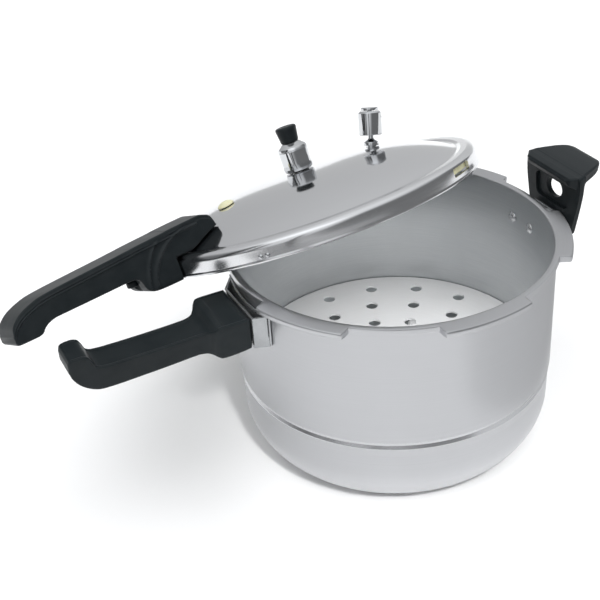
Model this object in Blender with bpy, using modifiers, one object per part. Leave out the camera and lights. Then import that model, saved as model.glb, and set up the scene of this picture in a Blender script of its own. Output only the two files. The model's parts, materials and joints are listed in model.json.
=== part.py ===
"""Stovetop pressure cooker: pot, perforated plate, bayonet lid, seal, valves and handles.

Metres, +Z up.  The origin is the centre of the pot's base.  The long handle points along -X and
the helper handle along +X.  The lid is modelled in its own frame (skirt edge at z = 0, handle
along -X) and hung on one empty that tips it over the back of the open pot.
"""
import math

import bmesh
import bpy
from mathutils import Matrix, Vector

MM = 0.001
STEPS = 72

# pot shell
POT_H = 172.5
POT_R = 120.0
WALL = 2.5
POT_OUT = POT_R + WALL
BASE_T = 5.0
BASE_CORNER = 45.0
STEP_Z = 72.0
STEP_IN = 1.3
FLANGE_T = 5.0
FLANGE_R = 126.0
LUG_R = 134.0
LUG_COUNT = 6
LUG_PITCH = 360.0 / LUG_COUNT
POT_LUG_DEG = 31.0
GAP = 0.3

# perforated plate and its legs
PLATE_R = 118.3
PLATE_T = 1.6
PLATE_Z = 63.0
HOLE_R = 5.0
HOLE_RINGS = ((22.0, 6, 0.0), (48.0, 10, 0.2), (74.0, 13, 0.68), (100.0, 16, 0.15))
LEG_R = 3.5
LEG_FOOT_R = 5.5
LEG_RING = 60.0

# brackets and rivets on the pot
BRACKET_T = 2.0
LONG_BRACKET = dict(wall_half=35.0, front_half=23.6, front=129.0, low=131.2, high=156.4, rise=2.9)
HELPER_BRACKET = dict(wall_half=24.0, front_half=20.0, front=147.6, low=140.0, high=155.0, rise=0.0)
RIVET_R = 2.2
RIVET_HEAD_R = 4.4
LONG_RIVETS = (-15.0, 15.0)
HELPER_RIVETS = (-11.5, 11.5)
LONG_RIVET_Z = 147.0
HELPER_RIVET_Z = 149.0
BOLT_R = 2.5
BOLT_HEAD_R = 5.0
BOLT_LEN = 16.0

# handle bodies as stations: x, half width at the top and bottom, low z, high z
POT_GRIP = (
    (129.3, 22.7, 22.5, 132.4, 155.4), (130.3, 23.5, 23.2, 131.6, 156.2), (148.0, 23.5, 23.2, 130.2, 156.3),
    (152.5, 23.2, 22.9, 130.4, 155.9), (155.0, 21.6, 21.4, 131.4, 153.8), (157.5, 17.6, 18.0, 132.4, 151.2),
    (161.0, 14.4, 15.0, 133.0, 149.4), (167.0, 13.1, 13.3, 132.8, 148.7), (185.0, 12.8, 12.8, 131.6, 148.3),
    (205.0, 12.8, 12.8, 130.9, 148.1), (225.0, 13.0, 13.0, 130.5, 148.2), (235.5, 13.1, 13.1, 130.7, 148.8),
    (239.5, 13.2, 13.1, 131.2, 150.6), (242.0, 13.3, 13.1, 132.0, 156.0), (244.5, 13.3, 13.0, 133.0, 159.6),
    (249.0, 13.2, 12.9, 135.8, 161.0), (254.0, 12.9, 12.6, 140.6, 160.8), (257.2, 12.4, 12.2, 146.0, 159.6),
    (258.4, 11.7, 11.6, 149.2, 157.8),
)
HELPER_GRIP = (
    (141.6, 25.0, 24.6, 187.4, 190.4), (142.8, 27.4, 27.0, 185.4, 191.8), (145.4, 29.4, 28.8, 183.6, 192.4),
    (147.9, 31.6, 30.8, 182.6, 192.8), (148.0, 32.0, 25.5, 140.0, 192.8), (152.0, 31.4, 25.5, 140.0, 193.2),
    (153.2, 31.0, 25.8, 144.0, 193.5), (154.2, 30.6, 26.2, 166.0, 193.6), (156.8, 29.6, 26.2, 177.5, 193.9),
    (161.5, 27.8, 25.6, 183.2, 194.2), (170.0, 24.4, 23.2, 185.2, 194.5), (175.5, 21.2, 20.4, 186.6, 194.4),
    (179.5, 17.0, 16.4, 187.8, 193.6), (181.6, 12.8, 12.2, 189.2, 192.2),
)
HELPER_HOLE = dict(z=172.0, half_width=10.0, half_height=8.0)

# lid, in its own frame
LID_CENTRE = (-22.9, 85.3, 161.7)
LID_TIP_DEG = 23.2
LID_TIP_TOWARD_DEG = 105.9
LID_TURN_DEG = 14.4
LID_R = 137.5
SHELL_T = 2.5
LID_LUG_DEG = 27.0
LID_LUG_R = 127.5
LID_LUG_T = 3.0
RING_Z = 15.6
CORNER_R = 6.0
CREASE_R = 123.0
CREASE_Z = 14.6
CROWN_Z = 35.0
DOME_POWER = 3.0
WINDOW_DEG = -69.3
WINDOW_SPAN = 11.2
WINDOW_Z = (5.0, 11.4)
SEAL_IN = 121.8
SEAL_OUT = 134.3

LID_GRIP_HALF = 13.4
LID_GRIP_ROOT = 96.0
LID_GRIP_SEAT = LID_R + 0.5
LID_GRIP_TAIL = (
    (141.5, -0.8, 37.0), (150.0, -0.7, 36.7), (158.0, -0.3, 36.4), (163.0, 0.6, 36.2), (166.5, 2.6, 36.0),
    (168.6, 5.6, 35.9), (169.6, 9.0, 35.8), (171.0, 12.4, 35.7), (174.0, 14.0, 35.6), (182.0, 14.5, 35.2),
    (210.0, 14.3, 34.0), (238.0, 14.2, 32.6),
    (244.5, 13.0, 32.0), (249.0, 10.6, 31.2), (252.0, 7.8, 30.4), (256.0, 7.0, 29.2), (262.0, 7.0, 26.8),
    (267.5, 7.1, 23.0), (270.8, 7.4, 19.0), (272.2, 8.4, 14.6),
)
LID_SCREWS = (104.0, 115.0)
STOP_X = 171.5

VALVE_R = 62.5
VALVE_DEG = -22.0
VALVE_LEAN = 8.0  # further outward than the dome's normal
PLUG_R = 69.0
PLUG_DEG = 170.0

STEEL = (0.62, 0.63, 0.65, 1.0)
SATIN = (0.66, 0.67, 0.69, 1.0)
BLACK = (0.018, 0.021, 0.023, 1.0)
CREAM = (0.82, 0.78, 0.55, 1.0)


def clear_scene():
    for item in list(bpy.data.objects):
        bpy.data.objects.remove(item, do_unlink=True)


def new_collection(name):
    group = bpy.data.collections.new(name)
    bpy.context.scene.collection.children.link(group)
    return group


def material(name, color, metallic, rough):
    mat = bpy.data.materials.new(name)
    mat.use_nodes = True
    shader = mat.node_tree.nodes["Principled BSDF"]
    shader.inputs["Base Color"].default_value = color
    shader.inputs["Metallic"].default_value = metallic
    shader.inputs["Roughness"].default_value = rough
    mat.diffuse_color = color
    return mat


def metal(name, color=STEEL, rough=0.25):
    return material(name, color, 1.0, rough)


def plastic(name, color=BLACK, rough=0.35):
    return material(name, color, 0.0, rough)


def add_object(name, verts, faces, mat, group, parent=None):
    mesh = bpy.data.meshes.new(name)
    mesh.from_pydata([Vector(v) * MM for v in verts], [], faces)
    obj = bpy.data.objects.new(name, mesh)
    group.objects.link(obj)
    obj.parent = parent
    if mat:
        mesh.materials.append(mat)
    bm = bmesh.new()
    bm.from_mesh(mesh)
    bmesh.ops.recalc_face_normals(bm, faces=bm.faces)
    bm.to_mesh(mesh)
    bm.free()
    return obj


def part(name, verts, faces, mat, parent=None):
    return add_object(name, verts, faces, mat, PARTS, parent)


def arc(cx, cz, radius, start, end, count):
    """Points on an arc in degrees, both ends included."""
    out = []
    for i in range(count + 1):
        a = math.radians(start + (end - start) * i / count)
        out.append((cx + radius * math.cos(a), cz + radius * math.sin(a)))
    return out


def revolve(name, profile, mat, parent=None, closed=False, steps=STEPS, group=None):
    """Screw a profile of (radius, z) pairs that runs down its outer side."""
    verts = [(r, 0.0, z) for r, z in profile]
    edges = [(i, i + 1) for i in range(len(verts) - 1)]
    if closed:
        edges.append((len(verts) - 1, 0))
    mesh = bpy.data.meshes.new(name)
    mesh.from_pydata([Vector(v) * MM for v in verts], edges, [])
    obj = bpy.data.objects.new(name, mesh)
    (group or PARTS).objects.link(obj)
    obj.parent = parent
    if mat:
        mesh.materials.append(mat)
    mod = obj.modifiers.new("turn", "SCREW")
    mod.axis = "Z"
    mod.steps = mod.render_steps = steps
    mod.use_merge_vertices = True
    mod.merge_threshold = 0.00002
    mod.use_smooth_shade = True
    return obj


def cutter(name, verts, faces, parent=None):
    obj = add_object(name, verts, faces, None, CUTTERS, parent)
    obj.hide_render = True
    obj.display_type = "WIRE"
    return obj


def cut(target, tool):
    mod = target.modifiers.new("cut_" + tool.name, "BOOLEAN")
    mod.operation = "DIFFERENCE"
    mod.solver = "EXACT"
    mod.object = tool


def shape(bm):
    """Vertices and faces of a bmesh, which is freed."""
    bm.verts.index_update()
    verts = [tuple(v.co) for v in bm.verts]
    faces = [tuple(v.index for v in f.verts) for f in bm.faces]
    bm.free()
    return verts, faces


def prism(loop, low, high):
    """Vertical prism over a loop of (x, y) points."""
    bm = bmesh.new()
    face = bm.faces.new([bm.verts.new((x, y, low)) for x, y in loop])
    moved = bmesh.ops.extrude_face_region(bm, geom=[face])["geom"]
    top = [v for v in moved if isinstance(v, bmesh.types.BMVert)]
    bmesh.ops.translate(bm, vec=(0, 0, high - low), verts=top)
    return shape(bm)


def merge(pieces):
    verts, faces = [], []
    for v, f in pieces:
        faces += [tuple(i + len(verts) for i in face) for face in f]
        verts += v
    return verts, faces


def sector(r_in, r_out, centre_deg, span_deg, low, high, count=6):
    a, b = centre_deg - span_deg / 2, centre_deg + span_deg / 2
    return prism(arc(0, 0, r_in, a, b, count) + arc(0, 0, r_out, b, a, count), low, high)


def sectors(r_in, r_out, span_deg, low, high, first_deg):
    return merge([sector(r_in, r_out, first_deg + LUG_PITCH * i, span_deg, low, high)
                  for i in range(LUG_COUNT)])


def rod(start, axis, length, radius, count=16):
    """Cylinder with its first cap centred on start."""
    w = Vector(axis).normalized()
    turn = w.to_track_quat("Z", "Y").to_matrix().to_4x4()
    place = Matrix.Translation(Vector(start) + w * length / 2) @ turn
    bm = bmesh.new()
    bmesh.ops.create_cone(bm, cap_ends=True, segments=count, radius1=radius, radius2=radius, depth=length,
                          matrix=place)
    return shape(bm)


def rounded_section(x, top_half, low_half, low, high):
    """One closed cross-section with rounded corners, in the plane at x."""
    r = min(4.0, 0.32 * (high - low), 0.32 * low_half)
    corners = ((top_half, high, 0), (-top_half, high, 90), (-low_half, low, 180), (low_half, low, 270))
    out = []
    for y, z, start in corners:
        cy = y - math.copysign(r, y)
        cz = z - r if z == high else z + r
        out += [(x, p, q) for p, q in arc(cy, cz, r, start, start + 90, 3)]
    return out


def loft(stations, sign):
    rings = [rounded_section(sign * x, t, b, low, high) for x, t, b, low, high in stations]
    n = len(rings[0])
    verts = [p for ring in rings for p in ring]
    faces = [tuple(range(n)), tuple(range(len(verts) - n, len(verts)))]
    for k in range(len(rings) - 1):
        for i in range(n):
            j = (i + 1) % n
            faces.append((k * n + i, k * n + j, (k + 1) * n + j, (k + 1) * n + i))
    return verts, faces


def empty(name, location, parent=None):
    obj = bpy.data.objects.new(name, None)
    obj.location = Vector(location) * MM
    obj.parent = parent
    PARTS.objects.link(obj)
    return obj


# ---------------------------------------------------------------- pot

def pot_profile():
    low_r = POT_OUT - STEP_IN
    inner = POT_R - STEP_IN
    centre_r = low_r - BASE_CORNER
    pts = [(0, BASE_T)]
    pts += arc(centre_r, BASE_CORNER, inner - centre_r, -72, 0, 5)
    pts[1] = (centre_r + 6, BASE_T)
    pts += [(inner, STEP_Z - 3), (POT_R, STEP_Z), (POT_R, POT_H - 1.6)]
    pts += arc(POT_R + 1.6, POT_H - 1.6, 1.6, 150, 90, 2)
    pts += arc(LUG_R - 1.5, POT_H - 1.5, 1.5, 90, 0, 2)
    pts += arc(LUG_R - 1.5, POT_H - FLANGE_T + 1.5, 1.5, 0, -90, 2)
    pts += arc(POT_OUT + 2.5, POT_H - FLANGE_T - 2.5, 2.5, 90, 180, 2)
    pts += [(POT_OUT, STEP_Z + 0.5), (low_r, STEP_Z - 4.5)]
    pts += arc(centre_r, BASE_CORNER, BASE_CORNER, 0, -90, 7)
    pts += [(0, 0)]
    return pts


def wall_points(half, offset, count):
    """Points that follow the outside of the pot wall, from +y to -y."""
    r = POT_OUT + offset
    a = math.degrees(math.asin(half / r))
    return arc(0, 0, r, a, -a, count)


def bracket(name, spec, mat, turn_deg):
    """Riveted loop of strip: a back on the wall, two cheeks and a front plate."""
    front, half = spec["front"] - GAP, spec["front_half"]
    loop = wall_points(spec["wall_half"], GAP, 8) + [(front, -half), (front, half)]
    n = len(loop)
    slope = spec["rise"] / (front - POT_OUT)
    climb = slope * (front - min(x for x, y in loop))
    verts = [(x, y, z) for z in (spec["low"], spec["high"] + climb) for x, y in loop]
    faces = [(i, (i + 1) % n, n + (i + 1) % n, n + i) for i in range(n)]
    obj = part(name, verts, faces, mat)
    obj.rotation_euler = (0, 0, math.radians(turn_deg))
    thick = obj.modifiers.new("strip", "SOLIDIFY")
    thick.thickness = BRACKET_T * MM
    thick.offset = -1
    thick.use_even_offset = True
    if climb > 0:
        for edge, z, far in (("top", spec["high"], 60), ("low", spec["low"], -60)):
            line = [(front + 20, z - 20 * slope), (front - 20, z + 20 * slope)]
            wedge, sides = prism(line + [(x, z + far) for x, _ in line[::-1]], -50, 50)
            tool = cutter("%s_%s_slope" % (name, edge), [(x, -y, z) for x, z, y in wedge], sides)
            tool.rotation_euler = obj.rotation_euler
            cut(obj, tool)
    return obj


def rivet(name, mat, z, offset, turn_deg):
    """Domed head inside the pot, shank through wall and bracket, flat tail outside."""
    tail = WALL + GAP + BRACKET_T + 0.3
    shank = RIVET_R - GAP
    profile = [(0, -2.6), (2.4, -2.2), (3.9, -1.2), (RIVET_HEAD_R, -0.5), (RIVET_HEAD_R, -0.2), (shank, -0.2),
               (shank, tail), (3.4, tail), (3.4, tail + 0.9), (2.6, tail + 1.5), (0, tail + 1.6)]
    obj = revolve(name, profile[::-1], mat, steps=16)
    a = math.asin(offset / POT_R) + math.radians(turn_deg)
    obj.location = Vector(((POT_R - 0.15) * math.cos(a), (POT_R - 0.15) * math.sin(a), z)) * MM
    obj.rotation_euler = (0, math.radians(90), a)
    return obj


def rivet_hole(offset, z, turn_deg):
    a = math.asin(offset / POT_R) + math.radians(turn_deg)
    d = (math.cos(a), math.sin(a), 0)
    return rod((110 * d[0], 110 * d[1], z), d, 22, RIVET_R, 12)


def bolt(name, mat, front, z, sign):
    """Pan-head bolt inside a bracket, its shank in the handle's blind hole."""
    profile = [(0, BOLT_LEN), (BOLT_R - 0.4, BOLT_LEN), (BOLT_R - 0.4, 0), (BOLT_HEAD_R, 0),
               (BOLT_HEAD_R, -0.8), (BOLT_HEAD_R - 1.0, -1.3), (0, -1.4)]
    obj = revolve(name, profile, mat, steps=16)
    obj.location = Vector((sign * (front - 0.3 - BRACKET_T - 0.2), 0, z)) * MM
    obj.rotation_euler = (0, math.radians(90 * sign), 0)
    return obj


def build_pot():
    pot = revolve("pot_body", pot_profile(), metal("pot_aluminium", SATIN, 0.32))
    gaps = sectors(FLANGE_R, LUG_R + 6, LUG_PITCH - POT_LUG_DEG, POT_H - FLANGE_T - 0.04, POT_H + 5, 0)
    cut(pot, cutter("lug_gaps", *gaps))
    holes = [rivet_hole(y, LONG_RIVET_Z, 180) for y in LONG_RIVETS]
    holes += [rivet_hole(y, HELPER_RIVET_Z, 0) for y in HELPER_RIVETS]
    tool = cutter("rivet_holes", *merge(holes))
    cut(pot, tool)
    for name, spec, turn in (("pot_bracket", LONG_BRACKET, 180), ("helper_bracket", HELPER_BRACKET, 0)):
        ring = bracket(name, spec, metal(name + "_steel", STEEL, 0.12), turn)
        cut(ring, tool)
        z = LONG_RIVET_Z if turn else HELPER_RIVET_Z
        sign = -1 if turn else 1
        way = cutter(name + "_bolt_way", *rod((sign * 126, 0, z), (sign, 0, 0), 30, BOLT_R, 12))
        cut(ring, way)
        for i, y in enumerate(LONG_RIVETS if turn else HELPER_RIVETS):
            label = "%s_rivet_%d" % (name, i + 1)
            rivet(label, metal(label + "_steel", STEEL, 0.3), z, y, turn)
        bolt(name + "_bolt", metal(name + "_bolt_steel", STEEL, 0.3), spec["front"], z, sign)
    build_grip("pot_handle", POT_GRIP, -1, LONG_RIVET_Z, LONG_BRACKET["front"])
    helper = build_grip("helper_handle", HELPER_GRIP, 1, HELPER_RIVET_Z, HELPER_BRACKET["front"])
    hole = oval_rod(HELPER_HOLE, 140, 184)
    cut(helper, cutter("helper_hole", *hole))


def build_grip(name, stations, sign, z, front):
    grip = part(name, *loft(stations, sign), plastic(name + "_bakelite"))
    way = rod((sign * (front - 1), 0, z), (sign, 0, 0), BOLT_LEN - BRACKET_T + 1.5, BOLT_R, 12)
    if sign > 0:
        way = rod((front - 1, 0, z), (1, 0, 0), 40, BOLT_R, 12)
    cut(grip, cutter(name + "_bolt_hole", *way))
    return grip


def oval_rod(spec, x0, x1):
    verts, faces = rod((x0, 0, 0), (1, 0, 0), x1 - x0, 1.0, 24)
    moved = [(x, y * spec["half_width"], spec["z"] + z * spec["half_height"]) for x, y, z in verts]
    return moved, faces


def build_plate():
    top = PLATE_Z + PLATE_T
    disc = revolve("steamer_plate", [(0, top), (PLATE_R - 0.6, top), (PLATE_R, top - 0.6),
                                     (PLATE_R, PLATE_Z + 0.5), (PLATE_R - 0.5, PLATE_Z), (0, PLATE_Z)],
                   metal("plate_aluminium", SATIN, 0.4))
    holes = []
    for ring, count, phase in HOLE_RINGS:
        for i in range(count):
            a = 2 * math.pi * (i + phase) / count
            centre = (ring * math.cos(a), ring * math.sin(a), PLATE_Z - 2)
            holes.append(rod(centre, (0, 0, 1), 6, HOLE_R, 12))
    cut(disc, cutter("plate_holes", *merge(holes)))
    for i in range(3):
        a = math.radians(120 * i + 45)
        h = PLATE_Z - BASE_T - 2 * GAP
        profile = [(0, h), (LEG_FOOT_R, h), (LEG_FOOT_R, h - 1.5), (LEG_R, h - 3), (LEG_R, 2.5),
                   (LEG_FOOT_R, 1.5), (LEG_FOOT_R, 0), (0, 0)]
        name = "plate_leg_%d" % (i + 1)
        leg = revolve(name, profile, metal(name + "_aluminium", SATIN, 0.4), steps=16)
        leg.location = Vector((LEG_RING * math.cos(a), LEG_RING * math.sin(a), BASE_T + GAP)) * MM


# ---------------------------------------------------------------- lid

def dome_z(r):
    return CREASE_Z + (CROWN_Z - CREASE_Z) * (1 - (min(r, CREASE_R) / CREASE_R) ** DOME_POWER)


def dome_radii(count):
    """Radii from the crown to the crease, closer together where the dome bends most."""
    return [0.0] + [CREASE_R * (i / count) ** 0.62 for i in range(1, count + 1)]


def lid_profile():
    inside = [(r, dome_z(r) - SHELL_T) for r in dome_radii(6)]
    inside[-1] = (CREASE_R - 0.6, CREASE_Z - SHELL_T - 0.2)
    corner = CORNER_R - SHELL_T
    inside += [(CREASE_R + 3.0, RING_Z - SHELL_T)]
    inside += arc(LID_R - CORNER_R, RING_Z - CORNER_R, corner, 90, 0, 3)
    skirt_in = LID_R - SHELL_T
    inside += [(skirt_in, LID_LUG_T), (LID_LUG_R + 0.6, LID_LUG_T), (LID_LUG_R, LID_LUG_T - 0.8),
               (LID_LUG_R, 0.8), (LID_LUG_R + 0.8, 0.0), (LID_R - 1.2, 0.0)]
    outside = [(LID_R, 1.2)] + arc(LID_R - CORNER_R, RING_Z - CORNER_R, CORNER_R, 0, 90, 5)
    outside += [(CREASE_R + 3.4, RING_Z)]
    outside += [(r, dome_z(r)) for r in reversed(dome_radii(9))]
    return inside, outside


def lid_frame():
    frame = empty("lid_frame", LID_CENTRE)
    toward, tip = math.radians(LID_TIP_TOWARD_DEG), math.radians(LID_TIP_DEG)
    turn = math.radians(LID_TURN_DEG)
    lean = Matrix.Rotation(toward, 3, "Z") @ Matrix.Rotation(tip, 3, "Y")
    lean = lean @ Matrix.Rotation(turn - toward, 3, "Z")
    frame.rotation_euler = lean.to_euler()
    return frame


def on_dome(name, ring, deg, parent, lean=0.0):
    """Empty on the dome, its Z along the surface normal or leaning outward from it."""
    a = math.radians(deg)
    spot = empty(name, (ring * math.cos(a), ring * math.sin(a), dome_z(ring)), parent)
    slope = (dome_z(ring + 0.5) - dome_z(ring - 0.5))
    spot.rotation_euler = (0, math.radians(lean) - math.atan(slope), a)
    return spot


def dome_hole(ring, deg, radius, lean=0.0):
    """Hole along the dome's normal or leaning outward from it."""
    a = math.radians(deg)
    slope = math.atan(dome_z(ring + 0.5) - dome_z(ring - 0.5)) - math.radians(lean)
    n = Vector((-math.sin(slope) * math.cos(a), -math.sin(slope) * math.sin(a), math.cos(slope)))
    p = Vector((ring * math.cos(a), ring * math.sin(a), dome_z(ring)))
    return rod(p - n * 10, n, 20, radius, 20)


def build_lid(frame):
    inside, outside = lid_profile()
    shell = revolve("lid_shell", outside[::-1] + inside[::-1], metal("lid_steel", STEEL, 0.06), frame)
    gap_deg = LUG_PITCH - LID_LUG_DEG
    gaps = sectors(LID_LUG_R - 4, LID_R - SHELL_T - 0.35, gap_deg, -3, LID_LUG_T + 0.04, 0)
    cut(shell, cutter("lid_lug_gaps", *gaps, parent=frame))
    slot = sector(LID_R - SHELL_T - 0.5, LID_R + 3, WINDOW_DEG, WINDOW_SPAN, *WINDOW_Z)
    cut(shell, cutter("seal_window", *slot, parent=frame))
    holes = [rod((0, 0, 20), (0, 0, 1), 25, 4.9, 20), dome_hole(VALVE_R, VALVE_DEG, 4.4, VALVE_LEAN),
             dome_hole(PLUG_R, PLUG_DEG, 4.6)]
    holes += [rod((-x, 0, 5), (0, 0, 1), 40, BOLT_R, 12) for x in LID_SCREWS]
    cut(shell, cutter("lid_holes", *merge(holes), parent=frame))
    seal = [(SEAL_IN + 4.8, 12.6), (131.4, 12.6), (133.6, 11.4), (SEAL_OUT, 9.6), (SEAL_OUT, 6.2),
            (133.2, 5.8), (131.4, 8.6), (125.6, 8.6), (123.4, 7.6), (SEAL_IN, 8.4), (SEAL_IN, 11.0)]
    revolve("seal_ring", seal, plastic("seal_silicone", CREAM, 0.5), frame, closed=True)


def lid_grip_stations():
    half = LID_GRIP_HALF
    out = []
    for i in range(9):
        x = LID_GRIP_ROOT + (CREASE_R + 1.0 - LID_GRIP_ROOT) * i / 8
        top = 38.4 - 0.02 * (x - LID_GRIP_ROOT) - (1.6 if i == 0 else 0.0)
        edge = half - (1.0 if i == 0 else 0.0)
        out.append((x, edge, edge, max(dome_z(x), RING_Z) + 0.5, top))
    out.append((LID_GRIP_SEAT - 0.1, half, half, RING_Z + 0.5, 37.3))
    out.append((LID_GRIP_SEAT, half, half, -0.8, 37.2))
    out += [(x, half, half, low, high) for x, low, high in LID_GRIP_TAIL]
    return out


def build_lid_handle(frame):
    grip = part("lid_handle", *loft(lid_grip_stations(), -1), plastic("lid_handle_bakelite"), frame)
    ways = [rod((-x, 0, dome_z(x) - 8), (0, 0, 1), 16, BOLT_R, 12) for x in LID_SCREWS]
    ways.append(rod((-STOP_X, 0, 5), (0, 0, 1), 16, 3.4, 16))
    cut(grip, cutter("lid_handle_holes", *merge(ways), parent=frame))
    notch = rod((-STOP_X, 0, -4), (0, 0, 1), 18.4, 5.4, 24)
    cut(grip, cutter("stop_notch", *notch, parent=frame))
    for i, x in enumerate(LID_SCREWS):
        profile = [(0, 7.0), (BOLT_R - 0.4, 7.0), (BOLT_R - 0.4, -5.4), (4.2, -5.4), (4.2, -6.6),
                   (3.4, -7.4), (0, -7.6)]
        name = "lid_handle_screw_%d" % (i + 1)
        screw = revolve(name, profile, metal(name + "_steel", STEEL, 0.3), frame, steps=16)
        screw.location = Vector((-x, 0, dome_z(x))) * MM
    profile = [(0, 20.0), (3.0, 20.0), (3.0, 12.6), (3.9, 12.1), (4.4, 11.0), (4.4, 8.8), (3.6, 7.8),
               (0, 7.6)]
    nub = revolve("handle_stop", profile, plastic("handle_stop_bakelite"), frame, steps=20)
    nub.location = Vector((-STOP_X, 0, 0)) * MM


def build_vent(frame):
    crown = CROWN_Z
    pipe = [(3.0, crown + 15.0), (3.8, crown + 14.0), (3.8, crown + 3.0), (7.5, crown + 2.2),
            (7.5, crown + 0.2), (4.5, crown + 0.2), (4.5, crown - 12.0), (1.2, crown - 12.0),
            (1.2, crown + 15.0)]
    revolve("vent_pipe", pipe, metal("vent_steel", STEEL, 0.2), frame, closed=True, steps=24)
    under = crown - SHELL_T - 0.3
    nut = [(9.0, under), (9.0, crown - 7.5), (5.6, crown - 7.5), (5.6, under)]
    revolve("vent_nut", nut, metal("vent_nut_steel", STEEL, 0.3), frame, closed=True, steps=6)
    seat = crown + 0.7
    body = [(0, 23.6), (2.6, 23.6), (2.6, 22.6), (6.9, 22.6), (8.2, 21.6), (10.8, 19.6), (12.0, 17.4),
            (12.0, 2.0), (11.4, 0.6), (10.4, 0), (8.2, 0), (8.2, 3.2), (4.6, 4.6), (4.6, 16.0), (1.6, 17.6),
            (0, 17.6)]
    knob = [(0, 35.6), (6.4, 35.6), (8.0, 35.0), (8.5, 33.8), (8.1, 31.0), (7.2, 24.0), (6.8, 22.9),
            (2.9, 22.9), (2.9, 23.9), (0, 23.9)]
    for name, profile, mat in (("weight_body", body, metal("weight_chrome", STEEL, 0.06)),
                               ("weight_knob", knob, plastic("knob_bakelite"))):
        revolve(name, [(r, seat + z) for r, z in profile], mat, frame, steps=36)


def build_valves(frame):
    spot = on_dome("valve_spot", VALVE_R, VALVE_DEG, frame, VALVE_LEAN)
    seat = [(1.6, 22.0), (2.2, 21.4), (2.2, 5.6), (3.4, 4.6), (6.2, 3.4), (6.2, 1.2), (4.0, 1.2),
            (4.0, -9.0), (1.0, -9.0), (1.0, 22.0)]
    revolve("valve_seat", seat, metal("valve_seat_steel", STEEL, 0.2), spot, closed=True, steps=24)
    nut = [(7.5, -SHELL_T - 1.4), (7.5, -7.6), (5.0, -7.6), (5.0, -SHELL_T - 1.4)]
    revolve("valve_nut", nut, metal("valve_nut_steel", STEEL, 0.3), spot, closed=True, steps=6)
    cap = [(2.2, 28.4), (8.0, 28.4), (9.3, 26.8), (9.3, 9.8), (8.9, 9.4), (4.2, 9.4), (4.2, 11.4),
           (6.6, 13.0), (6.6, 25.4), (2.2, 25.4)]
    revolve("valve_cap", cap, metal("valve_chrome", STEEL, 0.08), spot, closed=True, steps=36)
    top = [(0.8, 31.4), (6.4, 31.4), (7.0, 30.8), (7.0, 28.8), (1.8, 28.8), (1.8, 24.0), (0.8, 24.0)]
    revolve("valve_top", top, metal("valve_top_chrome", STEEL, 0.1), spot, closed=True, steps=36)
    place = on_dome("plug_spot", PLUG_R, PLUG_DEG, frame)
    plug = [(0, 3.6), (3.2, 3.4), (5.6, 2.6), (6.6, 1.6), (6.6, 0.9), (4.2, 0.5), (4.2, -3.2), (6.0, -3.6),
            (5.6, -4.6), (4.2, -6.0), (0, -6.2)]
    revolve("relief_plug", plug, plastic("plug_silicone", CREAM, 0.5), place, steps=28)


clear_scene()
PARTS = new_collection("stovetop_pressure_cooker")
CUTTERS = new_collection("cutters")
CUTTERS.hide_render = True
build_pot()
build_plate()
LID = lid_frame()
build_lid(LID)
build_lid_handle(LID)
build_vent(LID)
build_valves(LID)
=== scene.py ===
"""Looks of the stovetop pressure cooker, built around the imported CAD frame.

Fine meshes stand for the CAD solids, in millimetres scaled by MM.  The pot's pieces are made in the
row frame.  The lid's pieces are made in the lid's own frame (skirt edge at z = 0, handle along -X)
and placed by LID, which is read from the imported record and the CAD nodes.
"""
import json
import math

import bmesh
import bpy
import numpy as np
from mathutils import Matrix, Vector


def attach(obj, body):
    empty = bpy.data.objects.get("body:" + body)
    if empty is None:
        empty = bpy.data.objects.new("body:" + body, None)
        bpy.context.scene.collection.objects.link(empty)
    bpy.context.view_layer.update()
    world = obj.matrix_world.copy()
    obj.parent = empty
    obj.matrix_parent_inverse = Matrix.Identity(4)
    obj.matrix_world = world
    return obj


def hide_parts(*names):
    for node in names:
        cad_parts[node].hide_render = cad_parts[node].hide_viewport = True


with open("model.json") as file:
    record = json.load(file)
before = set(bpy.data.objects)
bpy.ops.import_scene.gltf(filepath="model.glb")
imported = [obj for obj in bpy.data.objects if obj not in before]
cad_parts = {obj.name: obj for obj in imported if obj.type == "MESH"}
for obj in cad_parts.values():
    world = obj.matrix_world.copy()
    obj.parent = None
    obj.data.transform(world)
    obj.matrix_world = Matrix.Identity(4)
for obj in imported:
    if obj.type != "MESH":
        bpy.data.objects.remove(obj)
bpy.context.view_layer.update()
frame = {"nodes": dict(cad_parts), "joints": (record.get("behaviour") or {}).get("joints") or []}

MM = 0.001
NODES = frame["nodes"]
SCENE = bpy.context.scene

# pot shell and its flange
POT_H, POT_R, WALL, BASE_T = 172.5, 120.0, 2.5, 5.0
POT_OUT = POT_R + WALL
CORNER, CORNER_R = 45.0, 76.2
FLANGE_T, FLANGE_R, LUG_R = 5.0, 126.0, 134.0
BAND_Z = (65.6, 73.2)
PITCH, POT_LUG_DEG = 60.0, 31.0
# plate
PLATE_R, PLATE_Z, PLATE_T, HOLE_R = 118.3, 63.0, 1.6, 5.0
HOLE_RINGS = ((22.0, 6, 0.0), (48.0, 10, 0.2), (74.0, 13, 0.68), (100.0, 16, 0.15))
# lid
LID_R, SHELL_T, RING_Z, EDGE_R = 137.5, 2.5, 15.6, 6.0
CREASE_R, CREASE_Z, CROWN_Z, DOME_POWER = 123.0, 14.6, 35.0, 3.0
LID_LUG_R, LID_LUG_T, LID_LUG_DEG = 127.5, 3.0, 27.0
WINDOW_DEG, WINDOW_SPAN, WINDOW_Z = -69.3, 11.2, (5.0, 11.4)
VALVE_R, VALVE_DEG, VALVE_LEAN = 62.5, -22.0, 8.0
PLUG_R, PLUG_DEG, STOP_X = 69.0, 170.0, 171.5
SCREW_X = (104.0, 115.0)
PIN_DEG, PIN_Z = (216.0, 218.2), 4.6
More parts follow.
